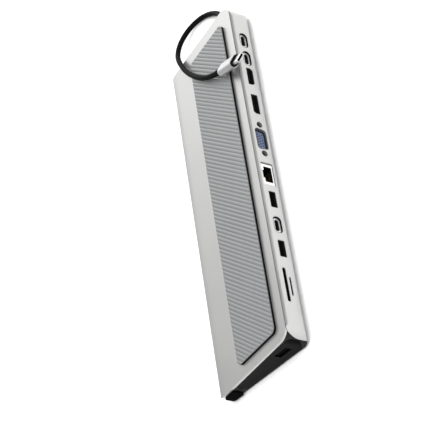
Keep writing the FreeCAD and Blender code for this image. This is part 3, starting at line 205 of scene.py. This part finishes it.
def add_ribbed_pad():
    """Rubber sheet with diagonal ribs, clipped to the pad's rounded outline."""
    low, high = (Vector(corner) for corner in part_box("ribbed_pad"))

    def top_height(y):
        return high.z - TOP_SLOPE * (high.y - y)

    mesh = bmesh.new()
    add_rib_strips(mesh, low, high, top_height)
    clip_to_outline(mesh, low, high)
    close_underneath(mesh, top_height)
    data = bpy.data.meshes.new("ribbed_sheet")
    mesh.to_mesh(data)
    mesh.free()
    data.shade_smooth()
    data.set_sharp_from_angle(angle=SHARP_FROM)
    sheet = bpy.data.objects.new("ribbed_sheet", data)
    scene.collection.objects.link(sheet)
    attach(sheet, "root")
    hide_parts("ribbed_pad")
    return sheet


ribbed_sheet = add_ribbed_pad()

# ---- materials --------------------------------------------------------------------------------

PATCH_SPAN = (0.3, 0.7)
PATCH_DETAIL = 3
GRAIN_DETAIL = 4
GRAIN_HEIGHT = 0.0002


class NodeMaterial:
    """A material whose shader takes its colour, roughness and grain from noise over the object."""

    def __init__(self, name):
        self.material = bpy.data.materials.new(name)
        self.material.use_nodes = True
        self.tree = self.material.node_tree
        self.shader = self.tree.nodes["Principled BSDF"]
        self.place = self.tree.nodes.new("ShaderNodeTexCoord").outputs["Object"]

    def link(self, output, socket):
        self.tree.links.new(output, socket)

    def noise(self, scale, detail):
        noise = self.tree.nodes.new("ShaderNodeTexNoise")
        noise.inputs["Scale"].default_value = scale
        noise.inputs["Detail"].default_value = detail
        self.link(self.place, noise.inputs["Vector"])
        return noise.outputs["Fac"]

    def colour(self, patches, dark, light):
        ramp = self.tree.nodes.new("ShaderNodeValToRGB")
        for element, position, shade in zip(ramp.color_ramp.elements, PATCH_SPAN, (dark, light)):
            element.position = position
            element.color = (*shade, 1)
        self.link(patches, ramp.inputs["Fac"])
        self.link(ramp.outputs["Color"], self.shader.inputs["Base Color"])

    def roughness(self, patches, smooth, rough):
        remap = self.tree.nodes.new("ShaderNodeMapRange")
        remap.inputs["From Min"].default_value = PATCH_SPAN[0]
        remap.inputs["From Max"].default_value = PATCH_SPAN[1]
        remap.inputs["To Min"].default_value = smooth
        remap.inputs["To Max"].default_value = rough
        self.link(patches, remap.inputs["Value"])
        self.link(remap.outputs["Result"], self.shader.inputs["Roughness"])

    def bump(self, grain, strength):
        bump = self.tree.nodes.new("ShaderNodeBump")
        bump.inputs["Strength"].default_value = strength
        bump.inputs["Distance"].default_value = GRAIN_HEIGHT
        self.link(grain, bump.inputs["Height"])
        self.link(bump.outputs["Normal"], self.shader.inputs["Normal"])


def mottled(name, dark, light, scale, roughness, metallic=0.0, bump=0.05, grain=900, specular=0.5):
    """Material whose colour and roughness vary a little, with a fine surface grain."""
    make = NodeMaterial(name)
    patches = make.noise(scale, PATCH_DETAIL)
    make.colour(patches, dark, light)
    make.roughness(patches, *roughness)
    make.shader.inputs["Metallic"].default_value = metallic
    make.shader.inputs["Specular IOR Level"].default_value = specular
    make.bump(make.noise(grain, GRAIN_DETAIL), bump)
    return make.material


def grey(value):
    """Neutral colour of one brightness."""
    return (value, value, value)


materials = {
    "silver": mottled("satin_silver", (0.43, 0.43, 0.427), (0.46, 0.46, 0.453), 14, (0.34, 0.4),
                      metallic=0.8, bump=0.03, grain=2500),
    "bottom": mottled("painted_bottom", grey(0.4), grey(0.45), 12, (0.5, 0.6)),
    "cap": mottled("satin_black_plastic", grey(0.014), grey(0.02), 30, (0.4, 0.5), specular=0.07),
    "panel": mottled("gloss_black_plastic", grey(0.0015), grey(0.0025), 20, (0.25, 0.33),
                     specular=0.02),
    "rubber": mottled("black_rubber", grey(0.001), grey(0.0015), 60, (0.75, 0.9), bump=0.1,
                      specular=0.02),
    "pad_base": mottled("pad_base_rubber", grey(0.002), grey(0.004), 60, (0.7, 0.85), bump=0.1,
                        specular=0.05),
    "ribbed": mottled("grey_pad_rubber", (0.148, 0.153, 0.155), (0.16, 0.165, 0.167), 40,
                      (0.36, 0.44), bump=0.08, specular=0.4),
    "steel": mottled("plated_steel", grey(0.7), grey(0.8), 60, (0.22, 0.34), metallic=1.0),
    # Socket metal near black: dark metal, with painted shade of the port recesses in its colour.
    "socket_steel_painted_shade": mottled("dark_socket_metal_painted_recess_shade", grey(0.016), grey(0.026), 90, (0.4, 0.55),
                            metallic=0.7, specular=0.2),
    "bezel": mottled("bright_bezel", grey(0.6), grey(0.66), 60, (0.26, 0.34), metallic=0.9),
    "black": mottled("black_insulator", grey(0.002), grey(0.003), 60, (0.6, 0.7), specular=0.05),
    "blue": mottled("blue_insulator", (0.08, 0.104, 0.176), (0.1, 0.128, 0.2), 80, (0.45, 0.55),
                    specular=0.3),
    "gold": mottled("gold_contacts", (0.75, 0.5, 0.15), (0.85, 0.6, 0.22), 200, (0.2, 0.35),
                    metallic=1.0),
    "board": mottled("solder_mask", (0.005, 0.05, 0.02), (0.01, 0.08, 0.035), 50, (0.3, 0.4)),
    "lead": mottled("lead_jacket", grey(0.0025), grey(0.004), 60, (0.5, 0.6), bump=0.06,
                    specular=0.03),
    "plug": mottled("plug_silver", grey(0.4), grey(0.45), 30, (0.3, 0.36), metallic=0.5, bump=0.03),
}

SLOT_MATERIALS = {
    "silver_shell": "silver", "bottom": "bottom", "end_cap": "cap", "end_panel": "panel",
    "bumper": "rubber", "feet": "rubber", "pad_base": "pad_base", "ribbed_pad": "ribbed",
    "thermal_pad": "ribbed", "screws": "steel", "connector_metal": "steel", "heat_spreader": "steel",
    "socket_metal": "socket_steel_painted_shade", "bezel": "bezel", "black_insulator": "black", "chip": "black",
    "blue_insulator": "blue", "contacts": "gold", "board": "board", "lead": "lead",
    "plug_body": "plug",
}


def dress(obj, material):
    """Give every slot of an object one material."""
    if not obj.material_slots:
        obj.data.materials.append(material)
    for slot in obj.material_slots:
        slot.material = material


for subpart in frame["record"]["subparts"]:
    dress(nodes[subpart["node"]], materials[SLOT_MATERIALS[subpart["material_slot"]]])
dress(lead, materials["lead"])
dress(ribbed_sheet, materials["ribbed"])

# ---- floor, light, background -----------------------------------------------------------------

FLOOR_SIZE = 6
FLOOR_PATCHES = 3
FLOOR_ROUGHNESS = 0.9
WHITE = (1, 1, 1, 1)
UP = (0, 0, 1)
HORIZON_LEVEL = 0.38
ZENITH_LEVEL = 0.6
ZENITH_SPAN = (0.0, 0.8)
REFLECTOR_LEVEL = 2.3
REFLECTOR_DIRECTION = (-0.92, -0.25, 0.36)
REFLECTOR_SPAN = (0.7, 0.93)
FLAG_LEVEL = -0.38
FLAG_DIRECTION = (-0.5, 0.75, 0.3)
FLAG_SPAN = (0.6, 0.95)


def add_floor():
    """Plain pale floor."""
    bpy.ops.mesh.primitive_plane_add(size=FLOOR_SIZE, location=(0, 0, 0))
    floor = bpy.context.object
    floor.name = "floor"
    make = NodeMaterial("pale_floor")
    make.colour(make.noise(FLOOR_PATCHES, PATCH_DETAIL), grey(0.93), grey(0.95))
    make.shader.inputs["Roughness"].default_value = FLOOR_ROUGHNESS
    dress(floor, make.material)


def add_light(name, place, size, power):
    """Soft square lamp that faces the origin."""
    data = bpy.data.lights.new(name, "AREA")
    data.shape = "SQUARE"
    data.size = size
    data.energy = power
    lamp = bpy.data.objects.new(name, data)
    lamp.location = place
    lamp.rotation_mode = "QUATERNION"
    lamp.rotation_quaternion = (-Vector(place)).to_track_quat("-Z", "Y")
    scene.collection.objects.link(lamp)


def add_world():
    """Studio surround: dimmer at the horizon, with one soft reflector and one dark flag."""
    world = bpy.data.worlds.new("studio")
    world.use_nodes = True
    tree = world.node_tree
    direction = tree.nodes.new("ShaderNodeTexCoord").outputs["Generated"]

    def facing(aim, span, far_level, near_level):
        """Level that changes smoothly as a direction comes nearer to the aim."""
        nearness = tree.nodes.new("ShaderNodeVectorMath")
        nearness.operation = "DOT_PRODUCT"
        nearness.inputs[1].default_value = Vector(aim).normalized()
        tree.links.new(direction, nearness.inputs[0])
        remap = tree.nodes.new("ShaderNodeMapRange")
        remap.interpolation_type = "SMOOTHSTEP"
        remap.inputs["From Min"].default_value = span[0]
        remap.inputs["From Max"].default_value = span[1]
        remap.inputs["To Min"].default_value = far_level
        remap.inputs["To Max"].default_value = near_level
        tree.links.new(nearness.outputs["Value"], remap.inputs["Value"])
        return remap.outputs["Result"]

    level = facing(UP, ZENITH_SPAN, HORIZON_LEVEL, ZENITH_LEVEL)
    reflector = facing(REFLECTOR_DIRECTION, REFLECTOR_SPAN, 0.0, REFLECTOR_LEVEL)
    flag = facing(FLAG_DIRECTION, FLAG_SPAN, 0.0, FLAG_LEVEL)
    for part in (reflector, flag):
        total = tree.nodes.new("ShaderNodeMath")
        total.operation = "ADD"
        tree.links.new(level, total.inputs[0])
        tree.links.new(part, total.inputs[1])
        level = total.outputs["Value"]
    background = tree.nodes["Background"]
    background.inputs["Color"].default_value = WHITE
    tree.links.new(level, background.inputs["Strength"])
    scene.world = world


add_floor()
add_light("softbox", place=(0.12, 0.5, 1.0), size=1.0, power=15.5)
add_light("fill", place=(0.65, 1.1, 0.32), size=0.6, power=4.5)
add_world()

scene.view_settings.view_transform = "Standard"
